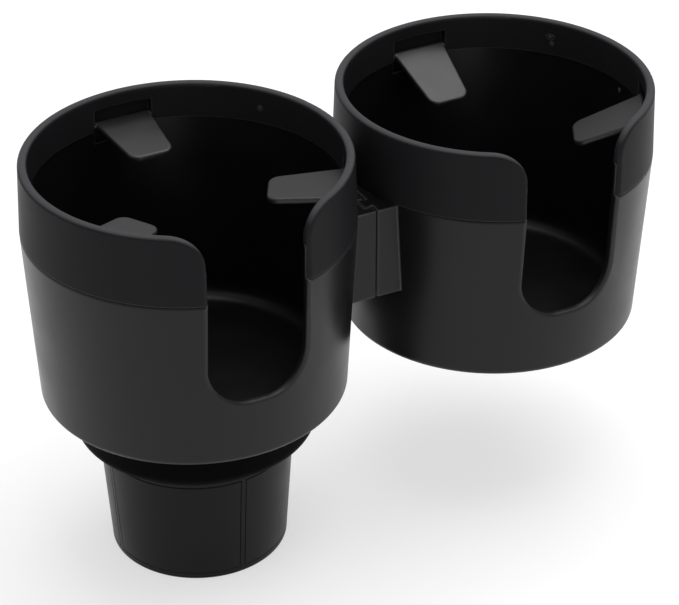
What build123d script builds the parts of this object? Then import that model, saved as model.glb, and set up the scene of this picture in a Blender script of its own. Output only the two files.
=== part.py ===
from build123d import *
import os
from math import cos, radians, sin

# Cup holder expander for a vehicle. A base that swells inside the vehicle's own
# holder carries a wide cup, and a second wide cup hooks on beside it.
# Z is up and X runs from the main cup to the second one. The origin is the middle
# of the base's underside. The openings of both cups face -Y.

# Reach of cutting shapes past what they cut, overlap of what is moulded in one,
# and margin for picking edges by their place
cut_reach = 20.0
weld = 1.0
pick_margin = 1.0

# Heights
base_height = 44.7
turn_gap = 0.3
collar_height = 16.8
cup_height = 85.7

# Cup bodies, measured inward from the seam under the ring
cup_gap = 4.4
cup_taper = 3.4
foot_wall = 2.6
wall_growth = 1.2
floor_thickness = 2.8
foot_round = 2.0
floor_round = 6.0

# Rim rings, lapped over the top of the cup bodies
rim_radius = 54.0
ring_flare = 0.9
ring_depth = 24.0
ring_thickness = 3.1
ring_lip_depth = 12.5
skirt_thickness = 1.6
lap_gap = 0.1
crown_round = 1.3

# U openings in ring and cup body
slot_width = 34.0
slot_depth = 63.0
slot_foot_round = 14.0
slot_mouth_round = 10.5
slot_edge_round = 1.1

# Hinged fingers in the rings, angles from +X
finger_angles = (-29.0, 91.0, 211.0)
finger_length = 25.2
finger_root_width = 20.0
finger_tip_width = 15.1
finger_thickness = 2.2
finger_tip_round = 4.0
finger_edge_round = 0.8
main_droop_angle = 5.5
second_droop_angle = 24.0
knuckle_radius = 1.5
hinge_inset = 3.2
hinge_depth = 11.0
pin_radius = 0.6
pin_overlap = 1.6
pin_running_gap = 0.06
window_side_gap = 0.45
window_depth = 4.8
window_back_gap = 0.35
tongue_notch_depth = 4.5

# Torsion springs in a pocket under the middle of each knuckle
spring_wire = 0.3
spring_turns = 3.0
spring_pitch = 0.42
spring_gap = 0.12
spring_side_gap = 0.3
spring_leg_angle = 135.0
pocket_rise = 0.45

# Dock between the cups
dock_width = 46.0
dock_height = 32.8
dock_top_gap = 0.4
dock_face_gap = 0.3
dock_edge_round = 0.6
rail_offset = 16.5
rail_neck_width = 4.4
rail_head_width = 6.4
rail_depth = 2.6
rail_gap = 0.3
rail_stop = 5.0

# Collar under the main cup
collar_shoulder = 6.4
collar_wall = 2.6
collar_round = 4.0
collar_web_thickness = 2.8
collar_web_height = 3.2
collar_boss_radius = 10.0
collar_inner_round = 1.0
collar_rib_thickness = 1.6
collar_rib_count = 4

# Base cone
base_top_radius = 33.3
base_taper = 3.0
base_turn = 3.5
base_edge_round = 0.8
plate_thickness = 2.5
deck_thickness = 2.7
deck_skirt_height = 4.9
deck_skirt_wall = 2.4
skirt_edge_round = 0.3
rib_thickness = 1.6
rib_hub_gap = 2.0
hub_radius = 8.5
hub_foot_level = 13.0

# Jaws
jaw_count = 4
jaw_travel = 9.0
jaw_turn = 120.0
jaw_wall = 2.4
jaw_seam = 0.3
jaw_flange = 2.4
jaw_flange_width = 19.0
jaw_inner_reach = 12.5
jaw_web = 2.4
jaw_spine_weld = 0.25
jaw_guide_width = 5.0
jaw_guide_length = 8.0
guide_gap = 0.3
follower_circle = 16.5
follower_radius = 2.0
foot_key_width = 3.8
foot_key_length = 7.0
foot_key_depth = 1.0

# Scroll plate
scroll_edge = 3.4
scroll_thickness = 2.8
scroll_slot_gap = 0.35
scroll_bore = 6.0

# Fasteners
bolt_radius = 3.0
bolt_head_height = 4.0
bolt_running_gap = 0.08
bolt_end_chamfer = 0.5
washer_radius = 7.0
washer_thickness = 1.0
washer_gap = 0.1
nut_across_flats = 10.0
nut_height = 5.0
nut_gap = 0.1
nut_top_gap = 0.3
screw_count = 4
collar_screw_turn = 45.0
screw_radius = 1.5
screw_head_radius = 2.8
screw_head_height = 1.6
screw_reach = 6.5
screw_spare = 1.0
screw_fit = 0.05
boss_radius = 3.2
boss_foot_gap = 0.1
collar_screw_inset = 10.4
base_screw_inset = 8.8
scroll_screw_margin = 3.7
scroll_screw_radius = 1.0
scroll_screw_head = 1.7
scroll_screw_skin = 0.6

# Cross slots, as shares of a screw head's radius and height
cross_length = 1.2
cross_width = 0.28
cross_depth = 0.6

# Levels that follow from the heights
collar_bottom = base_height + turn_gap
cup_bottom = collar_bottom + collar_height
floor_level = cup_bottom + floor_thickness
rim_level = cup_bottom + cup_height
seam_level = rim_level - ring_depth
lip_level = rim_level - ring_lip_depth
hinge_level = rim_level - hinge_depth
slot_level = rim_level - slot_depth
seam_radius = rim_radius + ring_flare
foot_radius = seam_radius - cup_taper
cup_spacing = 2 * seam_radius + cup_gap
lap_radius = seam_radius - skirt_thickness
rim_bore = rim_radius - ring_thickness
hinge_radius = rim_radius - hinge_inset
dock_top = seam_level - dock_top_gap
dock_bottom = dock_top - dock_height
dock_face = cup_spacing / 2
web_underside = collar_bottom + collar_web_height
web_top = web_underside + collar_web_thickness
base_foot_radius = base_top_radius - base_taper
scroll_screw_circle = follower_circle + jaw_travel + follower_radius + scroll_screw_margin
scroll_radius = scroll_screw_circle + scroll_edge
collar_radius = scroll_radius + collar_shoulder
collar_screw_circle = collar_radius - collar_wall - collar_screw_inset
base_screw_circle = base_foot_radius - base_screw_inset
deck_underside = base_height - deck_thickness
skirt_bottom = base_height - deck_skirt_height
jaw_top = skirt_bottom - jaw_seam
jaw_bottom = plate_thickness + jaw_seam
jaw_angles = [base_turn + 360 / jaw_count * (k + 0.5) for k in range(jaw_count)]
rib_angles = [base_turn + 360 / jaw_count * k for k in range(jaw_count)]
window_width = finger_root_width + 2 * window_side_gap
pin_reach = window_width / 2 + pin_overlap
coil_radius = pin_radius + spring_gap + spring_wire / 2
coil_height = spring_turns * spring_pitch
washer_top = hub_foot_level - washer_gap
washer_bottom = washer_top - washer_thickness


def between(level, low, low_value, high, high_value):
    """Value of a straight taper at a level."""
    return low_value + (high_value - low_value) * (level - low) / (high - low)


def ring_outside(level):
    return between(level, seam_level, seam_radius, rim_level, rim_radius)


def cup_inside(level):
    return between(level, cup_bottom, foot_radius - foot_wall, rim_level, rim_bore + wall_growth)


def base_outside(level):
    return between(level, 0, base_foot_radius, base_height, base_top_radius)


def front_plane(cup_x):
    """Upright plane through a cup's axis, facing the openings."""
    return Plane(origin=(cup_x, 0, 0), x_dir=(1, 0, 0), z_dir=(0, -1, 0))


def cup_axis(cup_x):
    return Axis((cup_x, 0, 0), (0, 0, 1))


def turned_section(cup_x, points, rounds):
    """Half section of a turned form beside its axis, corners rounded one by one."""
    with BuildSketch(front_plane(cup_x)) as section:
        with BuildLine():
            FilletPolyline(*points, radius=rounds, close=True)
        make_face()
    return section.sketch


def slot_outline(cup_x):
    """Outline of the U opening, flared at the rim and rounded at its foot."""
    half = slot_width / 2
    flare = half + slot_mouth_round
    foot_flat = half - slot_foot_round
    mouth_foot = rim_level - slot_mouth_round
    above = rim_level + cut_reach
    with BuildSketch(front_plane(cup_x)) as outline:
        with BuildLine():
            for side in (-1, 1):
                Line((side * flare, above), (side * flare, rim_level))
                TangentArc((side * flare, rim_level), (side * half, mouth_foot), tangent=(-side, 0))
                Line((side * half, mouth_foot), (side * half, slot_level + slot_foot_round))
                TangentArc(
                    (side * half, slot_level + slot_foot_round),
                    (side * foot_flat, slot_level),
                    tangent=(0, -1),
                )
            Line((-foot_flat, slot_level), (foot_flat, slot_level))
            Line((-flare, above), (flare, above))
        make_face()
    return outline.sketch


def slot_rim(wall, lowest):
    """Edges of a cup or ring wall that run down and round the U opening."""
    front = wall.edges().filter_by_position(Axis.Y, -2 * rim_radius, -pick_margin)
    return front.filter_by_position(Axis.Z, lowest, rim_level - pick_margin)


def finger_plane(cup_x, angle, droop):
    """Plane at a finger's hinge: local X runs to the tip, local Z is its upper side."""
    out_x, out_y = cos(radians(angle)), sin(radians(angle))
    drop, level = sin(radians(droop)), cos(radians(droop))
    return Plane(
        origin=(cup_x + hinge_radius * out_x, hinge_radius * out_y, hinge_level),
        x_dir=(-out_x * level, -out_y * level, -drop),
        z_dir=(-out_x * drop, -out_y * drop, level),
    )


def hinge_side_plane(cup_x, angle):
    """Plane at a hinge, square to its pin: local X points inward, local Y up."""
    out_x, out_y = cos(radians(angle)), sin(radians(angle))
    return Plane(
        origin=(cup_x + hinge_radius * out_x, hinge_radius * out_y, hinge_level),
        x_dir=(-out_x, -out_y, 0),
        z_dir=(-out_y, out_x, 0),
    )


def radial_plane(angle):
    """Upright plane through the base axis: local X points outward, local Y up."""
    out_x, out_y = cos(radians(angle)), sin(radians(angle))
    return Plane(origin=(0, 0, 0), x_dir=(out_x, out_y, 0), z_dir=(out_y, -out_x, 0))


def level_plane(angle, level):
    """Level plane turned so that local X points outward at an angle."""
    return Plane(origin=(0, 0, level), x_dir=(cos(radians(angle)), sin(radians(angle)), 0), z_dir=(0, 0, 1))


def hinge_rods(cup_x, radius, reach):
    """Round rods along the three hinge lines of a cup."""
    with BuildPart(mode=Mode.PRIVATE) as rods:
        for angle in finger_angles:
            with BuildSketch(hinge_side_plane(cup_x, angle)):
                Circle(radius)
            extrude(amount=reach, both=True)
    return rods.part


def rail_outline(level, gap):
    """Both dovetail rails of the dock seen from above, grown by a clearance."""
    face = dock_face + dock_face_gap / 2
    tip = face - dock_face_gap - rail_depth
    neck, head = rail_neck_width / 2, rail_head_width / 2
    with BuildSketch(Plane.XY.offset(level)) as rails:
        for side in (-1, 1):
            middle = side * rail_offset
            with BuildLine():
                Polyline(
                    (face + weld, middle - neck),
                    (face, middle - neck),
                    (tip, middle - head),
                    (tip, middle + head),
                    (face, middle + neck),
                    (face + weld, middle + neck),
                    close=True,
                )
            make_face()
        if gap > 0:
            offset(amount=gap, kind=Kind.INTERSECTION)
    return rails.sketch


# Cup bodies: tapered wall, rounded floor, and a dock block toward the other cup


def make_cup(cup_x, toward, label):
    spin = cup_axis(cup_x)
    tongue_top = lip_level - lap_gap
    wall_points = [
        (0, cup_bottom),
        (foot_radius, cup_bottom),
        (seam_radius, seam_level),
        (lap_radius - lap_gap, seam_level),
        (lap_radius - lap_gap, tongue_top),
        (cup_inside(tongue_top), tongue_top),
        (cup_inside(floor_level), floor_level),
        (0, floor_level),
    ]
    core_points = [
        (0, cup_bottom),
        (foot_radius - foot_wall / 2, cup_bottom),
        (seam_radius - foot_wall / 2, seam_level),
        (0, seam_level),
    ]
    block_reach = dock_face - dock_face_gap / 2
    with BuildPart(mode=Mode.PRIVATE) as block:
        with BuildSketch(Plane.XY.offset(dock_bottom)):
            with Locations((cup_x + toward * block_reach / 2, 0)):
                Rectangle(block_reach, dock_width)
        extrude(amount=dock_height)
        face = block.faces().filter_by(Axis.X).sort_by(Axis.X)[-1 if toward > 0 else 0]
        fillet(face.edges(), dock_edge_round)
        revolve(turned_section(cup_x, core_points, [0, 0, 0, 0]), axis=spin, mode=Mode.SUBTRACT)
    with BuildPart() as cup:
        rounds = [0, foot_round, 0, 0, 0, 0, floor_round, 0]
        revolve(turned_section(cup_x, wall_points, rounds), axis=spin)
        extrude(slot_outline(cup_x), amount=foot_radius + cut_reach, mode=Mode.SUBTRACT)
        inside, outside = cup.faces().filter_by(GeomType.CONE).sort_by(SortBy.AREA)[-2:]
        for wall, top in ((outside, seam_level), (inside, tongue_top)):
            rim = slot_rim(wall, slot_level - pick_margin)
            fillet(rim.filter_by_position(Axis.Z, 0, top - pick_margin), slot_edge_round)
        for angle in finger_angles:
            with BuildSketch(Plane.XY.offset(tongue_top - tongue_notch_depth)):
                with Locations(Location((cup_x, 0, 0), (0, 0, angle))):
                    with Locations((rim_bore, 0)):
                        Rectangle(cut_reach, window_width)
            extrude(amount=tongue_notch_depth + cut_reach, mode=Mode.SUBTRACT)
        add(block.part)
        if toward > 0:
            slot_foot = dock_bottom + rail_stop
            extrude(rail_outline(slot_foot, rail_gap), amount=dock_height, mode=Mode.SUBTRACT)
            with BuildSketch(Plane.XY.offset(cup_bottom)):
                with PolarLocations(collar_screw_circle, screw_count, start_angle=collar_screw_turn):
                    Circle(boss_radius)
            extrude(amount=web_top + boss_foot_gap - cup_bottom)
            with Locations(Plane(origin=(0, 0, web_top + boss_foot_gap), z_dir=(0, 0, -1))):
                with PolarLocations(collar_screw_circle, screw_count, start_angle=collar_screw_turn):
                    Hole(screw_radius + screw_fit, depth=screw_reach + screw_spare)
        else:
            rail_foot = dock_bottom + rail_stop + rail_gap
            extrude(rail_outline(rail_foot, 0), amount=dock_top - rail_foot)
    cup.part.label = label
    return cup


# Rim rings: a crown with three finger windows inside and a thin skirt outside


def make_ring(cup_x, label):
    foot = seam_level + lap_gap
    ring_points = [
        (rim_bore, lip_level),
        (rim_bore, rim_level),
        (rim_radius, rim_level),
        (ring_outside(foot), foot),
        (lap_radius, foot),
        (lap_radius, lip_level),
    ]
    window_back = hinge_radius + knuckle_radius + window_back_gap
    with BuildPart() as ring:
        revolve(turned_section(cup_x, ring_points, [0] * 6), axis=cup_axis(cup_x))
        extrude(slot_outline(cup_x), amount=rim_radius + cut_reach, mode=Mode.SUBTRACT)
        outside = ring.faces().filter_by(GeomType.CONE).sort_by(SortBy.AREA)[-1]
        fillet(slot_rim(outside, foot + pick_margin) + outside.edges().group_by(Axis.Z)[-1], crown_round)
        bore = ring.faces().filter_by(GeomType.CYLINDER).group_by(Axis.Z)[-1].sort_by(SortBy.AREA)[-1]
        fillet(slot_rim(bore, lip_level + pick_margin) + bore.edges().group_by(Axis.Z)[-1], crown_round)
        for angle in finger_angles:
            with BuildSketch(Plane.XY.offset(rim_level - window_depth)):
                with Locations(Location((cup_x, 0, 0), (0, 0, angle))):
                    with Locations((window_back - cut_reach / 2, 0)):
                        Rectangle(cut_reach, window_width)
            extrude(amount=lip_level - rim_level, mode=Mode.SUBTRACT)
        add(hinge_rods(cup_x, pin_radius + screw_fit, pin_reach + lap_gap), mode=Mode.SUBTRACT)
    ring.part.label = label
    return ring


# Fingers: flat tapered plates with a knuckle at the root and a spring pocket under it


def make_finger(cup_x, angle, droop, label):
    plane = finger_plane(cup_x, angle, droop)
    side = hinge_side_plane(cup_x, angle)
    root, tip = finger_root_width / 2, finger_tip_width / 2
    pocket_radius = coil_radius + spring_wire / 2 + spring_gap
    pocket_half = (coil_height + spring_wire) / 2 + spring_side_gap
    far = 2 * knuckle_radius
    with BuildPart() as finger:
        with BuildSketch(plane.offset(knuckle_radius - finger_thickness)) as outline:
            with BuildLine():
                Polyline((0, -root), (finger_length, -tip), (finger_length, tip), (0, root), close=True)
            make_face()
            fillet(outline.vertices().group_by(Axis.X)[-1], finger_tip_round)
        extrude(amount=finger_thickness)
        along, upward = Axis(plane.origin, plane.x_dir), Axis(plane.origin, plane.z_dir)
        sides = finger.faces().sort_by(upward)
        rim_edges = sides[-1].edges().sort_by(along)[1:] + sides[0].edges().sort_by(along)[1:]
        fillet(rim_edges, finger_edge_round)
        with BuildSketch(side):
            Circle(knuckle_radius)
        extrude(amount=root, both=True)
        with BuildSketch(side):
            Circle(pocket_radius)
            with BuildLine():
                Polyline(
                    (-far, pocket_rise),
                    (-far, -far),
                    (pocket_radius, -far),
                    (pocket_radius, 0),
                    (0, 0),
                    (0, pocket_rise),
                    close=True,
                )
            make_face()
        extrude(amount=pocket_half, both=True, mode=Mode.SUBTRACT)
        with BuildSketch(side):
            Circle(pin_radius + pin_running_gap)
        extrude(amount=finger_root_width, both=True, mode=Mode.SUBTRACT)
    finger.part.label = label
    return finger


def make_pins(cup_x, label):
    with BuildPart() as pins:
        add(hinge_rods(cup_x, pin_radius, pin_reach))
    pins.part.label = label
    return pins


def make_springs(cup_x, label):
    """Torsion springs on the pins, one leg of each rests on the back of its window."""
    back = knuckle_radius + window_back_gap - spring_wire / 2 - screw_fit
    leg = (back + coil_radius * cos(radians(spring_leg_angle))) / sin(radians(spring_leg_angle))
    with BuildPart(mode=Mode.PRIVATE) as spring:
        with BuildLine():
            coil = Helix(pitch=spring_pitch, height=coil_height, radius=coil_radius)
            Line(coil @ 1, coil @ 1 + (coil % 1) * leg)
        with BuildSketch(Plane(origin=coil @ 0, z_dir=coil % 0)):
            RegularPolygon(radius=spring_wire / 2, side_count=6)
        sweep()
    with BuildPart() as springs:
        for angle in finger_angles:
            seat = hinge_side_plane(cup_x, angle).offset(-coil_height / 2)
            with Locations(seat.location * Location((0, 0, 0), (0, 0, spring_leg_angle))):
                add(spring.part)
    springs.part.label = label
    return springs


# Screws: cross-slotted pan heads, group of equal ones on a ring of places


def screw_group(places, head_radius, head_height, shank_radius, reach, label):
    """Equal screws; each place has its origin under the head and points out of it."""
    with BuildPart() as screws:
        for place in places:
            with BuildSketch(place):
                Circle(head_radius)
            extrude(amount=head_height)
            with BuildSketch(place.offset(head_height)):
                Rectangle(head_radius * cross_length, head_radius * cross_width)
                Rectangle(head_radius * cross_width, head_radius * cross_length)
            extrude(amount=-head_height * cross_depth, mode=Mode.SUBTRACT)
            with BuildSketch(place):
                Circle(shank_radius)
            extrude(amount=-reach)
    screws.part.label = label
    return screws


def ring_of_places(radius, start_angle, level):
    """Planes on a circle, spaced evenly and facing down."""
    angles = [radians(start_angle + 360 / screw_count * k) for k in range(screw_count)]
    return [Plane(origin=(radius * cos(a), radius * sin(a), level), z_dir=(0, 0, -1)) for a in angles]


# Collar: turned with the main cup, carries the scroll plate and the pivot bolt


def make_collar():
    bore = bolt_radius + bolt_running_gap
    inside = collar_radius - collar_wall
    collar_points = [
        (bore, web_underside),
        (scroll_radius + lap_gap, web_underside),
        (scroll_radius + lap_gap, collar_bottom),
        (collar_radius, collar_bottom),
        (collar_radius, cup_bottom),
        (inside, cup_bottom),
        (inside, web_top),
        (collar_boss_radius, web_top),
        (collar_boss_radius, cup_bottom),
        (bore, cup_bottom),
    ]
    underside = Plane(origin=(0, 0, web_underside), z_dir=(0, 0, -1))
    with BuildPart() as collar:
        rounds = [0, 0, 0, collar_round, 0, 0, collar_inner_round, collar_inner_round, 0, 0]
        revolve(turned_section(0, collar_points, rounds), axis=Axis.Z)
        with BuildSketch(Plane.XY.offset(cup_bottom - lap_gap)):
            rib_middle = (collar_boss_radius + inside) / 2
            with PolarLocations(rib_middle, collar_rib_count):
                Rectangle(inside - collar_boss_radius + collar_wall, collar_rib_thickness)
        extrude(amount=web_top - cup_bottom)
        with BuildSketch(Plane.XY.offset(cup_bottom)):
            RegularPolygon(radius=nut_across_flats / 2 + nut_gap, side_count=6, major_radius=False)
        extrude(amount=-nut_height - nut_top_gap, mode=Mode.SUBTRACT)
        with Locations(underside):
            with PolarLocations(collar_screw_circle, screw_count, start_angle=collar_screw_turn):
                CounterBoreHole(
                    screw_radius + screw_fit,
                    screw_head_radius + 2 * screw_fit,
                    screw_head_height,
                    collar_web_thickness,
                )
            with PolarLocations(scroll_screw_circle, screw_count):
                Hole(scroll_screw_radius + screw_fit, depth=collar_web_thickness - scroll_screw_skin)
    collar.part.label = "collar"
    return collar


# Scroll plate: four spiral slots, one for the follower pin of each jaw


def spiral_slot(start_angle):
    """Slot that runs outward and back against the turn of the collar."""
    half = follower_radius + scroll_slot_gap
    steps = 8

    def place(step, side):
        share = step / steps
        radius = follower_circle + jaw_travel * share + side * half
        angle = radians(start_angle - jaw_turn * share)
        return Vector(radius * cos(angle), radius * sin(angle))

    def end_middle(step, way):
        angle = radians(start_angle - jaw_turn * step / steps)
        return place(step, 0) + Vector(-sin(angle), cos(angle)) * half * way

    with BuildSketch(Plane.XY.offset(web_underside - scroll_thickness)) as slot:
        with BuildLine():
            Spline(*[place(k, -1) for k in range(steps + 1)])
            Spline(*[place(k, 1) for k in range(steps + 1)])
            ThreePointArc(place(0, -1), end_middle(0, 1), place(0, 1))
            ThreePointArc(place(steps, -1), end_middle(steps, -1), place(steps, 1))
        make_face()
    return slot.sketch


def make_scroll_plate():
    underside = web_underside - scroll_thickness
    with BuildPart() as plate:
        with BuildSketch(Plane.XY.offset(underside)):
            Circle(scroll_radius)
            Circle(scroll_bore, mode=Mode.SUBTRACT)
        extrude(amount=scroll_thickness)
        for angle in jaw_angles:
            extrude(spiral_slot(angle), amount=scroll_thickness, mode=Mode.SUBTRACT)
        with Locations(Plane(origin=(0, 0, underside), z_dir=(0, 0, -1))):
            with PolarLocations(scroll_screw_circle, screw_count):
                CounterBoreHole(
                    scroll_screw_radius + screw_fit,
                    scroll_screw_head + screw_fit,
                    scroll_thickness / 2,
                    scroll_thickness,
                )
    plate.part.label = "scroll_plate"
    return plate


# Base frame: deck with a skirt, a hub for the bolt and four ribs between the jaws


def make_base_frame():
    skirt_inside = base_outside(skirt_bottom) - deck_skirt_wall
    bore = bolt_radius + bolt_running_gap
    deck_points = [
        (bore, hub_foot_level),
        (hub_radius, hub_foot_level),
        (hub_radius, deck_underside),
        (skirt_inside, deck_underside),
        (skirt_inside, skirt_bottom),
        (base_outside(skirt_bottom), skirt_bottom),
        (base_top_radius, base_height),
        (bore, base_height),
    ]
    guide_slot_start = follower_circle - jaw_guide_length / 2 - guide_gap
    guide_slot_end = follower_circle + jaw_guide_length / 2 + jaw_travel + guide_gap
    with BuildPart() as frame:
        rounds = [0, 0, 0, 0, 0, skirt_edge_round, base_edge_round, 0]
        revolve(turned_section(0, deck_points, rounds), axis=Axis.Z)
        for angle in rib_angles:
            with BuildSketch(radial_plane(angle)):
                with BuildLine():
                    Polyline(
                        (hub_radius - weld, hub_foot_level),
                        (hub_radius + rib_hub_gap, plate_thickness),
                        (base_outside(plate_thickness), plate_thickness),
                        (base_outside(skirt_bottom + weld), skirt_bottom + weld),
                        (base_outside(skirt_bottom + weld), deck_underside + weld),
                        (hub_radius - weld, deck_underside + weld),
                        close=True,
                    )
                make_face()
            extrude(amount=rib_thickness / 2, both=True)
        with BuildSketch(Plane.XY.offset(plate_thickness)):
            with PolarLocations(base_screw_circle, screw_count, start_angle=base_turn):
                Circle(boss_radius)
        extrude(amount=screw_reach + 2 * screw_spare)
        with Locations(Plane(origin=(0, 0, plate_thickness), z_dir=(0, 0, -1))):
            with PolarLocations(base_screw_circle, screw_count, start_angle=-base_turn):
                Hole(screw_radius + screw_fit, depth=screw_reach + screw_spare)
        for angle in jaw_angles:
            with BuildSketch(level_plane(angle, deck_underside)):
                with Locations(((guide_slot_start + guide_slot_end) / 2, 0)):
                    Rectangle(guide_slot_end - guide_slot_start, jaw_guide_width + 2 * guide_gap)
            extrude(amount=deck_thickness, mode=Mode.SUBTRACT)
    frame.part.label = "base_frame"
    return frame


# Base plate: closes the base from below, its rim is the lowest band of the cone


def make_base_plate():
    plate_points = [
        (0, 0),
        (base_foot_radius, 0),
        (base_outside(plate_thickness), plate_thickness),
        (0, plate_thickness),
    ]
    groove_start = follower_circle - foot_key_length / 2 - guide_gap
    groove_end = follower_circle + foot_key_length / 2 + jaw_travel + guide_gap
    groove_depth = foot_key_depth - jaw_seam + guide_gap
    with BuildPart() as plate:
        revolve(turned_section(0, plate_points, [0, base_edge_round, 0, 0]), axis=Axis.Z)
        for angle in jaw_angles:
            with BuildSketch(level_plane(angle, plate_thickness)):
                with Locations(((groove_start + groove_end) / 2, 0)):
                    Rectangle(groove_end - groove_start, foot_key_width + 2 * guide_gap)
            extrude(amount=-groove_depth, mode=Mode.SUBTRACT)
        with Locations(Plane(origin=(0, 0, 0), z_dir=(0, 0, -1))):
            with PolarLocations(base_screw_circle, screw_count, start_angle=-base_turn):
                CounterBoreHole(
                    screw_radius + screw_fit,
                    screw_head_radius + 2 * screw_fit,
                    screw_head_height,
                    plate_thickness,
                )
    plate.part.label = "base_plate"
    return plate


# Jaws: quarter shells of the base cone on a flanged spine, moved by a follower pin


def make_jaw(angle, label):
    spine_foot = base_outside(jaw_bottom) - jaw_wall + jaw_spine_weld
    spine_head = base_outside(jaw_top) - jaw_wall + jaw_spine_weld
    side_offset = rib_thickness / 2 + jaw_seam
    apex = side_offset / sin(radians(180 / jaw_count))
    far = base_top_radius + cut_reach
    shell_points = [
        (base_outside(jaw_bottom) - jaw_wall, jaw_bottom),
        (base_outside(jaw_bottom), jaw_bottom),
        (base_outside(jaw_top), jaw_top),
        (base_outside(jaw_top) - jaw_wall, jaw_top),
    ]
    plane = radial_plane(angle)
    with BuildPart(mode=Mode.PRIVATE) as spine:
        with BuildSketch(plane):
            with BuildLine():
                Polyline(
                    (jaw_inner_reach, jaw_bottom),
                    (spine_foot, jaw_bottom),
                    (spine_head, jaw_top),
                    (jaw_inner_reach, jaw_top),
                    close=True,
                )
            make_face()
        extrude(amount=jaw_flange_width / 2, both=True)
        for side in (-1, 1):
            with BuildSketch(plane.offset(side * jaw_web / 2)):
                with Locations((jaw_inner_reach, (jaw_bottom + jaw_top) / 2)):
                    Rectangle(2 * base_top_radius, jaw_top - jaw_bottom - 2 * jaw_flange)
            extrude(amount=side * jaw_flange_width, mode=Mode.SUBTRACT)
    with BuildPart() as jaw:
        revolve(turned_section(0, shell_points, [0, 0, 0, 0]), axis=Axis.Z)
        with BuildSketch(level_plane(angle, 0)):
            with BuildLine():
                Polyline((apex, 0), (far + apex, far), (far + apex, -far), close=True)
            make_face()
        extrude(amount=base_height, mode=Mode.INTERSECT)
        add(spine.part)
        with BuildSketch(level_plane(angle, jaw_top)):
            with Locations((follower_circle, 0)):
                Rectangle(jaw_guide_length, jaw_guide_width)
        extrude(amount=base_height - guide_gap - jaw_top)
        with BuildSketch(level_plane(angle, base_height - guide_gap)):
            with Locations((follower_circle, 0)):
                Circle(follower_radius)
        extrude(amount=web_underside - guide_gap - base_height + guide_gap)
        with BuildSketch(level_plane(angle, jaw_bottom)):
            with Locations((follower_circle, 0)):
                Rectangle(foot_key_length, foot_key_width)
        extrude(amount=-foot_key_depth)
    jaw.part.label = label
    return jaw


# Pivot: bolt up through the hub into a nut that sits in the collar's boss


def make_pivot_bolt():
    with BuildPart() as bolt:
        with BuildSketch(Plane.XY.offset(washer_bottom)):
            RegularPolygon(radius=nut_across_flats / 2, side_count=6, major_radius=False)
        extrude(amount=-bolt_head_height)
        with BuildSketch(Plane.XY.offset(washer_bottom)):
            Circle(bolt_radius)
        extrude(amount=cup_bottom - nut_top_gap - washer_bottom)
        chamfer(bolt.edges().group_by(Axis.Z)[-1], bolt_end_chamfer)
    bolt.part.label = "pivot_bolt"
    return bolt


def make_pivot_washer():
    with BuildPart() as washer:
        with BuildSketch(Plane.XY.offset(washer_bottom)):
            Circle(washer_radius)
            Circle(bolt_radius + bolt_running_gap, mode=Mode.SUBTRACT)
        extrude(amount=washer_thickness)
    washer.part.label = "pivot_washer"
    return washer


def make_pivot_nut():
    with BuildPart() as nut:
        with BuildSketch(Plane.XY.offset(cup_bottom - nut_top_gap)):
            RegularPolygon(radius=nut_across_flats / 2, side_count=6, major_radius=False)
            Circle(bolt_radius + screw_fit, mode=Mode.SUBTRACT)
        extrude(amount=-nut_height)
    nut.part.label = "pivot_nut"
    return nut


# The whole set of pieces, written one file a piece

pieces = [
    make_base_frame(),
    make_base_plate(),
    make_scroll_plate(),
    make_collar(),
    make_pivot_bolt(),
    make_pivot_washer(),
    make_pivot_nut(),
    make_cup(0, 1, "main_cup"),
    make_ring(0, "main_ring"),
    make_pins(0, "main_finger_pins"),
    make_springs(0, "main_finger_springs"),
    make_cup(cup_spacing, -1, "second_cup"),
    make_ring(cup_spacing, "second_ring"),
    make_pins(cup_spacing, "second_finger_pins"),
    make_springs(cup_spacing, "second_finger_springs"),
    screw_group(
        ring_of_places(base_screw_circle, base_turn, screw_head_height),
        screw_head_radius,
        screw_head_height - screw_fit,
        screw_radius,
        screw_reach,
        "base_screws",
    ),
    screw_group(
        ring_of_places(collar_screw_circle, collar_screw_turn, web_underside + screw_head_height),
        screw_head_radius,
        screw_head_height - screw_fit,
        screw_radius,
        screw_reach,
        "collar_screws",
    ),
    screw_group(
        ring_of_places(scroll_screw_circle, 0, web_underside - scroll_thickness / 2),
        scroll_screw_head,
        scroll_thickness / 2 - screw_fit,
        scroll_screw_radius,
        scroll_thickness / 2 + collar_web_thickness - scroll_screw_skin - screw_fit,
        "scroll_screws",
    ),
]
pieces += [make_jaw(angle, f"jaw_{k + 1}") for k, angle in enumerate(jaw_angles)]
for k, angle in enumerate(finger_angles):
    pieces.append(make_finger(0, angle, main_droop_angle, f"main_finger_{k + 1}"))
    pieces.append(make_finger(cup_spacing, angle, second_droop_angle, f"second_finger_{k + 1}"))

os.makedirs("parts", exist_ok=True)
for piece in pieces:
    export_step(piece.part, f"parts/{piece.part.label}.step")
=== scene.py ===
from math import cos, pi, radians, sin

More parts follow.
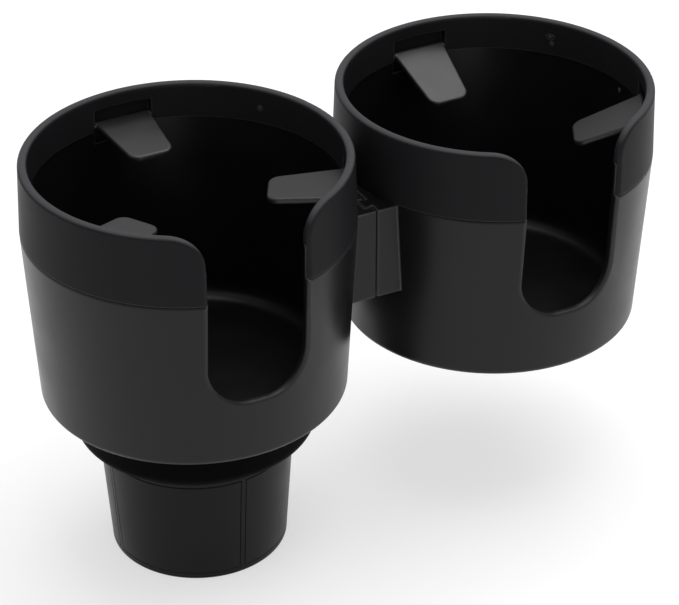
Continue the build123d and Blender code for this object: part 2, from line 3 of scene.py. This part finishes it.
import bpy
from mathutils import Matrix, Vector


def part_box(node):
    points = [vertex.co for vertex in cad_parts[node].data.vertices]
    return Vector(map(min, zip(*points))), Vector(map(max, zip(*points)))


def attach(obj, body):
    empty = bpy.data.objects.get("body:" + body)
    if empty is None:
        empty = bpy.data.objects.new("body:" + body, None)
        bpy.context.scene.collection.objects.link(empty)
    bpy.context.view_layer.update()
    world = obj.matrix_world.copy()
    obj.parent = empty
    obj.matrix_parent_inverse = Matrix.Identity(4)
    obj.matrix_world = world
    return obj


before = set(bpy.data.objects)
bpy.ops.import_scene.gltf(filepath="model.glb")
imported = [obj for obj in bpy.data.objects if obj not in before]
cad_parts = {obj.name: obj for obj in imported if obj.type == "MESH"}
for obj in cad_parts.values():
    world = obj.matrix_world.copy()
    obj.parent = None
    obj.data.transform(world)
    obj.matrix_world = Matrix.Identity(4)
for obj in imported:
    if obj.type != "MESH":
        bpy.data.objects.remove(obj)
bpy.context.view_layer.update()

# Cup bodies: polypropylene, injection moulded black, each in one piece with its half
# of the dock between the cups. The spark-eroded mould leaves a fine even grain and a
# soft gloss, and the edges are painted paler, a painted highlight.
mm = 0.001
polymer_ior = 1.49

# Most of a noise texture's values lie between these two
noise_low = 0.3
noise_high = 0.7
flow_detail = 3.0
grain_detail = 4.0
grain_strength = 0.5

# The gloss drifts with the flow of the plastic, by this much roughness each way
gloss_drift_down = 0.04
gloss_drift_up = 0.05

# Cosine of the angle between an edge's rounded and its flat normal, where the painted
# edge highlight starts and where it is full
painted_edge_light_start = 0.995
painted_edge_light_full = 0.92

# Upward part of the normal where the painted highlight on tops starts and where it is full
painted_top_light_start = 0.45
painted_top_light_full = 0.85


def linear(hex_colour):
    """The linear RGBA of an sRGB hex colour."""
    channels = [int(hex_colour[i:i + 2], 16) / 255 for i in (1, 3, 5)]
    return [c / 12.92 if c <= 0.04045 else ((c + 0.055) / 1.055) ** 2.4 for c in channels] + [1.0]


def add_node(tree, kind, values=None, links=None, **settings):
    """Adds a node, sets its settings and unlinked inputs, and links the others."""
    node = tree.nodes.new(kind)
    for name, setting in settings.items():
        setattr(node, name, setting)
    for socket, value in (values or {}).items():
        node.inputs[socket].default_value = value
    for socket, source in (links or {}).items():
        tree.links.new(source, node.inputs[socket])
    return node


def moulded_plastic(
    name, colour, pale_colour, highlight_colour, roughness, gloss_level,
    grain_mm, grain_depth_mm, flow_mm, edge_mm=0.6, edge_highlight_amount=1.0, top_highlight_amount=0.0,
):
    """
    A moulded thermoplastic: grain from the mould, slow drift of colour and gloss,
    edges rounded by the mould, and a painted highlight: a paler tone painted on its edges and upward faces.
    A real grain is under 0.1 mm, so it is drawn several times coarser, to show.
    """
    material = bpy.data.materials.new(name)
    material.use_nodes = True
    tree = material.node_tree
    tree.nodes.clear()
    place = add_node(tree, "ShaderNodeTexCoord").outputs["Object"]
    flow = add_node(
        tree, "ShaderNodeTexNoise",
        {"Scale": 1 / (flow_mm * mm), "Detail": flow_detail},
        {"Vector": place},
    )
    grain = add_node(
        tree, "ShaderNodeTexNoise",
        {"Scale": 1 / (grain_mm * mm), "Detail": grain_detail},
        {"Vector": place},
    )
    tint = add_node(
        tree, "ShaderNodeMix",
        {"A": linear(colour), "B": linear(pale_colour)},
        {"Factor": flow.outputs["Fac"]},
        data_type="RGBA",
    )
    gloss = add_node(
        tree, "ShaderNodeMapRange",
        {
            "From Min": noise_low,
            "From Max": noise_high,
            "To Min": roughness - gloss_drift_down,
            "To Max": roughness + gloss_drift_up,
        },
        {"Value": flow.outputs["Fac"]},
    )
    edge = add_node(tree, "ShaderNodeBevel", {"Radius": edge_mm * mm})
    bump = add_node(
        tree, "ShaderNodeBump",
        {"Strength": grain_strength, "Distance": grain_depth_mm * mm},
        {"Height": grain.outputs["Fac"], "Normal": edge.outputs["Normal"]},
    )
    face = add_node(tree, "ShaderNodeNewGeometry").outputs["Normal"]
    flatness = add_node(
        tree, "ShaderNodeVectorMath",
        links={0: edge.outputs["Normal"], 1: face},
        operation="DOT_PRODUCT",
    )
    # Painted highlight: a paler tone painted along the edges, where rounded edges catch the light
    edge_highlight_mask = add_node(
        tree, "ShaderNodeMapRange",
        {"From Min": painted_edge_light_start, "From Max": painted_edge_light_full, "To Min": 0.0, "To Max": edge_highlight_amount},
        {"Value": flatness.outputs["Value"]},
    )
    # Painted highlight: faces turned upwards are painted paler, as if lit from above
    upward = add_node(tree, "ShaderNodeSeparateXYZ", links={"Vector": face})
    top_highlight_mask = add_node(
        tree, "ShaderNodeMapRange",
        {"From Min": painted_top_light_start, "From Max": painted_top_light_full, "To Min": 0.0, "To Max": top_highlight_amount},
        {"Value": upward.outputs["Z"]},
    )
    highlight_mask = add_node(
        tree, "ShaderNodeMath",
        links={0: edge_highlight_mask.outputs["Result"], 1: top_highlight_mask.outputs["Result"]},
        operation="MAXIMUM",
    )
    # The painted highlight is mixed into the base colour here
    highlight_tint = add_node(
        tree, "ShaderNodeMix",
        {"B": linear(highlight_colour)},
        {"A": tint.outputs["Result"], "Factor": highlight_mask.outputs["Value"]},
        data_type="RGBA",
    )
    shader = add_node(
        tree, "ShaderNodeBsdfPrincipled",
        {"IOR": polymer_ior, "Metallic": 0.0, "Specular IOR Level": gloss_level},
        {
            "Base Color": highlight_tint.outputs["Result"],
            "Roughness": gloss.outputs["Result"],
            "Normal": bump.outputs["Normal"],
        },
    )
    add_node(tree, "ShaderNodeOutputMaterial", links={"Surface": shader.outputs["BSDF"]})
    return material


def dress(material, *nodes):
    """Gives CAD nodes their finish."""
    for node in nodes:
        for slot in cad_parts[node].material_slots:
            slot.material = material


cup_polypropylene = moulded_plastic(
    "spark_grained_polypropylene",
    colour="#0b0b0d", pale_colour="#111113", highlight_colour="#4c4c4e",
    roughness=0.33, gloss_level=0.26, grain_mm=0.7, grain_depth_mm=0.03, flow_mm=22,
    edge_mm=1.0,
)
dress(cup_polypropylene, "main_cup", "second_cup")

# Rim rings: ABS, injection moulded with a finer and duller face than the cup bodies,
# and pressed over the lap at the top of each. They look darker than the bodies, with
# a painted highlight, a pale line painted along the crown where the top light falls.
ring_abs = moulded_plastic(
    "satin_moulded_abs",
    colour="#1a1a1c", pale_colour="#1f1f21", highlight_colour="#444446",
    roughness=0.47, gloss_level=0.07, grain_mm=0.5, grain_depth_mm=0.012, flow_mm=30,
    top_highlight_amount=0.9,
)
dress(ring_abs, "main_ring", "second_ring")

# Gate marks: small round sinks with a broken off nub, where the plastic came into the
# mould. They are part of the ring or the cup that they sit on and have its finish.
gate_sides = 28
gate_radius = 1.15 * mm
gate_root = 0.8 * mm
gate_proud = 0.12 * mm
gate_lip = 0.3 * mm
gate_sink = 0.1 * mm
gate_edge_round = 0.04 * mm
gate_edge_steps = 2
gate_smooth_angle = radians(30)
nub_foot = 0.3 * mm
nub_taper = 0.18 * mm
nub_rise = 0.35 * mm
facing_up = 0.9
bpy.ops.object.select_all(action="DESELECT")
bpy.ops.mesh.primitive_cylinder_add(
    vertices=gate_sides, radius=gate_radius, depth=gate_root,
    location=(0, 0, gate_proud - gate_root / 2),
)
gate_pattern = bpy.context.active_object
bpy.ops.object.mode_set(mode="EDIT")
bpy.ops.mesh.select_all(action="DESELECT")
bpy.ops.object.mode_set(mode="OBJECT")
for face in gate_pattern.data.polygons:
    face.select = face.normal.z > facing_up
bpy.ops.object.mode_set(mode="EDIT")
bpy.ops.mesh.inset(thickness=gate_lip)
bpy.ops.mesh.inset(thickness=gate_sink, depth=-gate_sink)
bpy.ops.mesh.inset(thickness=nub_foot)
bpy.ops.mesh.inset(thickness=nub_taper, depth=nub_rise)
bpy.ops.object.mode_set(mode="OBJECT")
gate_round = gate_pattern.modifiers.new("round", "BEVEL")
gate_round.width = gate_edge_round
gate_round.segments = gate_edge_steps
bpy.ops.object.modifier_apply(modifier=gate_round.name)
bpy.ops.object.shade_smooth_by_angle(angle=gate_smooth_angle)
bpy.ops.object.transform_apply(location=True, rotation=True, scale=True)

# Inner radius of the rings, and of the second cup where its mark is, then the level of
# the rims and the places of both cup axes
ring_bore = 50.9 * mm
cup_bore = 51.5 * mm
rim_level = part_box("main_ring")[1][2]
main_axis_x, second_axis_x = [
    sum(corner[0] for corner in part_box(ring)) / 2 for ring in ("main_ring", "second_ring")
]

# Each mark's name, body, cup axis, wall radius, turn in degrees, depth under the rim
# in millimetres, stretch round the wall, finish and slot
gate_marks = (
    ("main_gate_mark", "main", main_axis_x, ring_bore, 36.6, 7.1, 1.0, ring_abs, "ring_plastic"),
    ("second_gate_mark", "second", second_axis_x, ring_bore, 35.5, 8.4, 0.9, ring_abs, "ring_plastic"),
    ("second_torn_gate", "second", second_axis_x, ring_bore, 36.3, 5.9, 1.6, ring_abs, "ring_plastic"),
    ("second_cup_gate", "second", second_axis_x, cup_bore, 0.4, 16.2, 0.7, cup_polypropylene, "cup_plastic"),
)
for name, body, axis_x, wall_radius, turn, drop, stretch, finish, slot in gate_marks:
    mark = gate_pattern.copy()
    mark.data = gate_pattern.data.copy()
    mark.name = name
    bpy.context.scene.collection.objects.link(mark)
    mark.data.materials.append(finish)
    bpy.ops.object.select_all(action="DESELECT")
    mark.select_set(True)
    bpy.context.view_layer.objects.active = mark
    mark.scale = (1, stretch, 1)
    mark.rotation_euler = (0, -pi / 2, radians(turn))
    mark.location = (
        axis_x + wall_radius * cos(radians(turn)),
        wall_radius * sin(radians(turn)),
        rim_level - drop * mm,
    )
    bpy.ops.object.transform_apply(location=True, rotation=True, scale=True)
    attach(mark, body)
bpy.data.objects.remove(gate_pattern)

# Fingers: dark grey thermoplastic rubber, moulded as soft plates with a satin face that
# shows the soft box. They swing on steel pins in the rings and keep a slim bottle in
# the middle of its cup.
# The fingers' edges get the painted highlight too
finger_rubber = moulded_plastic(
    "satin_thermoplastic_rubber",
    colour="#1b1b1c", pale_colour="#212122", highlight_colour="#434344",
    roughness=0.36, gloss_level=0.5, grain_mm=0.6, grain_depth_mm=0.02, flow_mm=12,
)
dress(finger_rubber, *[f"{cup}_finger_{k}" for cup in ("main", "second") for k in (1, 2, 3)])

# Base frame, base plate and the four jaws: polypropylene from smoother moulds than the
# cups, with a quiet gloss. The plate is screwed to the frame and the jaws slide between
# them. Their upward faces are painted paler, a painted highlight, and their edges a little.
base_polypropylene = moulded_plastic(
    "smooth_moulded_polypropylene",
    colour="#0e0e0f", pale_colour="#131314", highlight_colour="#38383a",
    roughness=0.36, gloss_level=0.13, grain_mm=0.6, grain_depth_mm=0.015, flow_mm=18,
    edge_mm=0.35, edge_highlight_amount=0.1, top_highlight_amount=0.9,
)
dress(base_polypropylene, "base_frame", "base_plate", *[f"jaw_{k}" for k in (1, 2, 3, 4)])

# Collar: polypropylene from a matt textured mould, screwed under the main cup. It hardly
# shines at all, so it is the blackest piece.
# Its edges get a faint painted highlight
collar_polypropylene = moulded_plastic(
    "matt_textured_polypropylene",
    colour="#030303", pale_colour="#060606", highlight_colour="#141415",
    roughness=0.5, gloss_level=0.02, grain_mm=0.6, grain_depth_mm=0.03, flow_mm=18,
)
dress(collar_polypropylene, "collar")

# Scroll plate: acetal, moulded dark grey with a slick face, because the follower pins of
# the jaws slide in its spiral slots. Four small screws hold it up under the collar.
# Its edges get the painted highlight too
scroll_acetal = moulded_plastic(
    "moulded_acetal",
    colour="#2a2a2b", pale_colour="#303031", highlight_colour="#4a4a4b",
    roughness=0.3, gloss_level=0.4, grain_mm=0.5, grain_depth_mm=0.01, flow_mm=15,
)
dress(scroll_acetal, "scroll_plate")

# Bolt, nut, washer, screws, pins and springs: mild steel, turned or drawn, with bright
# zinc plating. It is slightly cloudy, with faint tool lines, drawn coarser than the
# real ones so that they show.
zinc_cloud_mm = 2.5
zinc_line_mm = 0.25
zinc_line_depth = 0.01 * mm
zinc_line_strength = 0.3
zinc_line_detail = 2.0
zinc_clear_roughness = 0.24
zinc_cloudy_roughness = 0.38
zinc_steel = bpy.data.materials.new("bright_zinc_plated_steel")
zinc_steel.use_nodes = True
zinc_tree = zinc_steel.node_tree
zinc_tree.nodes.clear()
zinc_place = add_node(zinc_tree, "ShaderNodeTexCoord").outputs["Object"]
zinc_cloud = add_node(
    zinc_tree, "ShaderNodeTexNoise",
    {"Scale": 1 / (zinc_cloud_mm * mm), "Detail": flow_detail},
    {"Vector": zinc_place},
)
zinc_tint = add_node(
    zinc_tree, "ShaderNodeMix",
    {"A": linear("#a9abad"), "B": linear("#c2c4c4")},
    {"Factor": zinc_cloud.outputs["Fac"]},
    data_type="RGBA",
)
zinc_gloss = add_node(
    zinc_tree, "ShaderNodeMapRange",
    {
        "From Min": noise_low,
        "From Max": noise_high,
        "To Min": zinc_clear_roughness,
        "To Max": zinc_cloudy_roughness,
    },
    {"Value": zinc_cloud.outputs["Fac"]},
)
zinc_lines = add_node(
    zinc_tree, "ShaderNodeTexNoise",
    {"Scale": 1 / (zinc_line_mm * mm), "Detail": zinc_line_detail},
    {"Vector": zinc_place},
)
zinc_bump = add_node(
    zinc_tree, "ShaderNodeBump",
    {"Strength": zinc_line_strength, "Distance": zinc_line_depth},
    {"Height": zinc_lines.outputs["Fac"]},
)
zinc_shader = add_node(
    zinc_tree, "ShaderNodeBsdfPrincipled",
    {"Metallic": 1.0},
    {
        "Base Color": zinc_tint.outputs["Result"],
        "Roughness": zinc_gloss.outputs["Result"],
        "Normal": zinc_bump.outputs["Normal"],
    },
)
add_node(zinc_tree, "ShaderNodeOutputMaterial", links={"Surface": zinc_shader.outputs["BSDF"]})
dress(
    zinc_steel,
    "pivot_bolt", "pivot_nut", "pivot_washer", "base_screws", "collar_screws", "scroll_screws",
    "main_finger_pins", "second_finger_pins", "main_finger_springs", "second_finger_springs",
)

# Studio table: a broad sheet of opal acrylic with a matt face, lit softly from below,
# so that it stays pale right up to the part.
white = (1, 1, 1, 1)
table_width = 6.0
table_place = (0.06, 0, 0)
table_roughness = 0.9
table_glow = 0.55
bpy.ops.object.select_all(action="DESELECT")
bpy.ops.mesh.primitive_plane_add(size=table_width, location=table_place)
table = bpy.context.active_object
table.name = "studio_table"
table_paint = bpy.data.materials.new("lit_opal_acrylic")
table_paint.use_nodes = True
table_shader = table_paint.node_tree.nodes["Principled BSDF"]
table_shader.inputs["Base Color"].default_value = linear("#bcbcbc")
table_shader.inputs["Roughness"].default_value = table_roughness
table_shader.inputs["Emission Color"].default_value = white
table_shader.inputs["Emission Strength"].default_value = table_glow
table.data.materials.append(table_paint)

# Studio room: even pale light from all round, which the black plastic mirrors where it
# turns away from the eye.
room_glow = 0.6
room = bpy.data.worlds.new("pale_room")
bpy.context.scene.world = room
room.use_nodes = True
room_light = room.node_tree.nodes["Background"]
room_light.inputs["Color"].default_value = white
room_light.inputs["Strength"].default_value = room_glow

# Overhead soft box: the main light, a square one a little to the right, which lights
# the rims, the fingers and the floors of the cups.
top_box_size = 1.2
top_box_place = (0.42, 0.15, 1.2)
top_box_radiance = 2.5
top_box_data = bpy.data.lights.new("overhead_soft_box", "AREA")
top_box_data.shape = "SQUARE"
top_box_data.size = top_box_size
top_box_data.energy = top_box_radiance * pi * top_box_size ** 2
top_box = bpy.data.objects.new("overhead_soft_box", top_box_data)
bpy.context.scene.collection.objects.link(top_box)
top_box.location = top_box_place

# Camera: a long lens that looks down on the part from the front left, so that both
# openings and the dock between the cups show.
lens_mm = 131.67
sensor_mm = 36.0
camera_place = (-281.35 * mm, -642.84 * mm, 523.96 * mm)
camera_pitch = radians(90 - 31.686)
camera_heading = radians(-27.63)
camera_data = bpy.data.cameras.new("camera")
camera_data.lens = lens_mm
camera_data.sensor_width = sensor_mm
camera = bpy.data.objects.new("camera", camera_data)
bpy.context.scene.collection.objects.link(camera)
camera.location = camera_place
camera.rotation_euler = (camera_pitch, 0, camera_heading)
bpy.context.scene.camera = camera
bpy.context.scene.view_settings.view_transform = "Standard"
